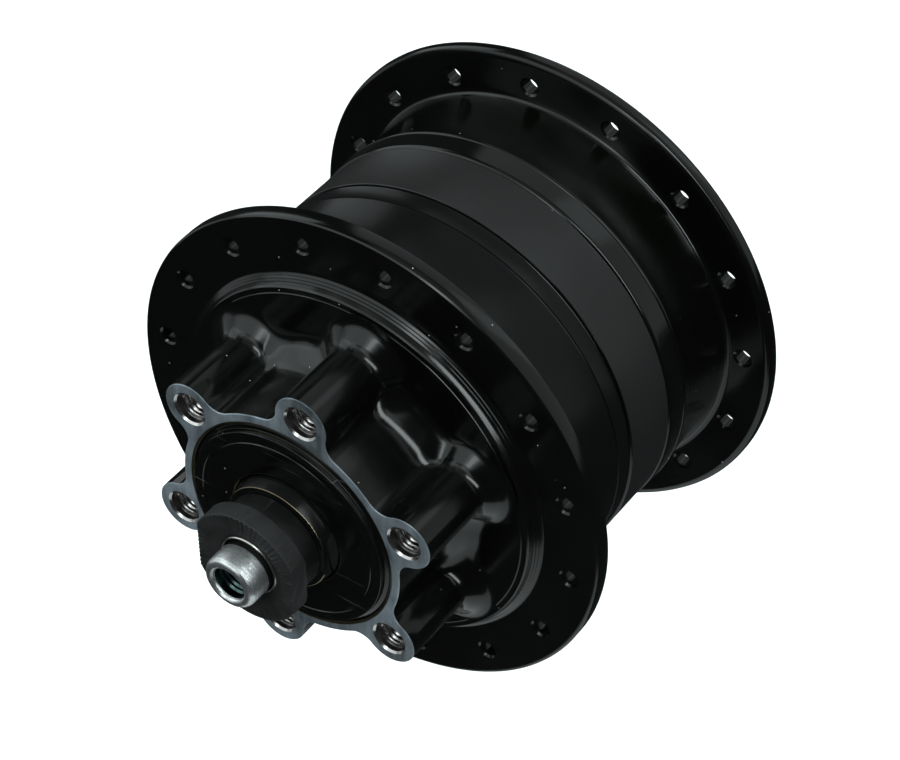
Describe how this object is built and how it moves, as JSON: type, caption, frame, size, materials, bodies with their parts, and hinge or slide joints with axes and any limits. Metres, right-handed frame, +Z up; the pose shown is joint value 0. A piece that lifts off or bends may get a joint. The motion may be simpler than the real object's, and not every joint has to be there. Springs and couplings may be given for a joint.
{
  "type": "bicycle hub dynamo",
  "caption": "Front wheel hub that turns on a fixed hollow axle and holds a claw-pole generator, with spoke flanges and a bolt-on rotor mount.",
  "frame": {"origin": "middle of the axle, halfway between the two locknut faces", "axes": "+Y along the axle towards the terminal side, -Y towards the brake rotor, +Z up, away from the terminal block, which points down"},
  "size_m": [0.0838, 0.108, 0.0838],
  "materials": {
    "gloss_black_shell": "gloss black over turned and cast aluminium, bare machined rotor face",
    "black_dust_cap": "gloss black pressed steel",
    "black_rubber": "matte",
    "soft_iron": "plain pressed iron",
    "ferrite": "matte ground ferrite",
    "zinc_steel": "bright zinc plated",
    "black_oxide_steel": "matte black oxide",
    "bearing_steel": "ground and polished",
    "natural_nylon": "moulded",
    "enamelled_copper": "enamelled wire",
    "black_plastic": "moulded, fine grain",
    "terminal_brass": "bright"
  },
  "bodies": {
    "axle": {"axle": "zinc_steel", "left_cone": "black_oxide_steel", "right_cone": "black_oxide_steel", "left_spacer": "black_oxide_steel", "right_washer": "black_oxide_steel", "left_locknut": "black_oxide_steel", "right_locknut": "black_oxide_steel", "stator_claw_left": "soft_iron", "stator_claw_right": "soft_iron", "stator_core": "soft_iron", "coil_bobbin": "natural_nylon", "coil_winding": "enamelled_copper", "stator_nut": "zinc_steel", "lead_wire_1": "enamelled_copper", "lead_wire_2": "enamelled_copper", "terminal_block": "black_plastic", "terminal_blade_1": "terminal_brass", "terminal_blade_2": "terminal_brass"},
    "shell": {"hub_shell": "gloss_black_shell", "right_end_cap": "gloss_black_shell", "end_cap_o_ring": "black_rubber", "magnet_yoke_ring": "soft_iron", "magnet_arc_1": "ferrite", "magnet_arc_2": "ferrite", "magnet_arc_3": "ferrite", "magnet_arc_4": "ferrite", "left_bearing_cup": "bearing_steel", "left_seal_ring": "black_rubber", "left_dust_cap": "black_dust_cap", "right_bearing_cup": "bearing_steel", "right_seal_ring": "black_rubber", "right_dust_cap": "black_dust_cap"},
    "left_cage": {"left_ball_cage": "bearing_steel", "left_ball_1": "bearing_steel", "left_ball_2": "bearing_steel", "left_ball_3": "bearing_steel", "left_ball_4": "bearing_steel", "left_ball_5": "bearing_steel", "left_ball_6": "bearing_steel", "left_ball_7": "bearing_steel", "left_ball_8": "bearing_steel", "left_ball_9": "bearing_steel"},
    "right_cage": {"right_ball_cage": "bearing_steel", "right_ball_1": "bearing_steel", "right_ball_2": "bearing_steel", "right_ball_3": "bearing_steel", "right_ball_4": "bearing_steel", "right_ball_5": "bearing_steel", "right_ball_6": "bearing_steel", "right_ball_7": "bearing_steel", "right_ball_8": "bearing_steel", "right_ball_9": "bearing_steel"}
  },
  "joints": [
    {"name": "hub_spin", "type": "hinge", "parent": "axle", "child": "shell", "pos_m": [0, 0, 0], "axis": [0, 1, 0], "continuous": true},
    {"name": "left_cage_spin", "type": "hinge", "parent": "axle", "child": "left_cage", "pos_m": [0, -0.0336, 0], "axis": [0, 1, 0], "continuous": true},
    {"name": "right_cage_spin", "type": "hinge", "parent": "axle", "child": "right_cage", "pos_m": [0, 0.0336, 0], "axis": [0, 1, 0], "continuous": true}
  ],
  "couplings": [
    {"joint": "left_cage_spin", "follows": "hub_spin", "ratio": 0.5896},
    {"joint": "right_cage_spin", "follows": "hub_spin", "ratio": 0.5896}
  ]
}
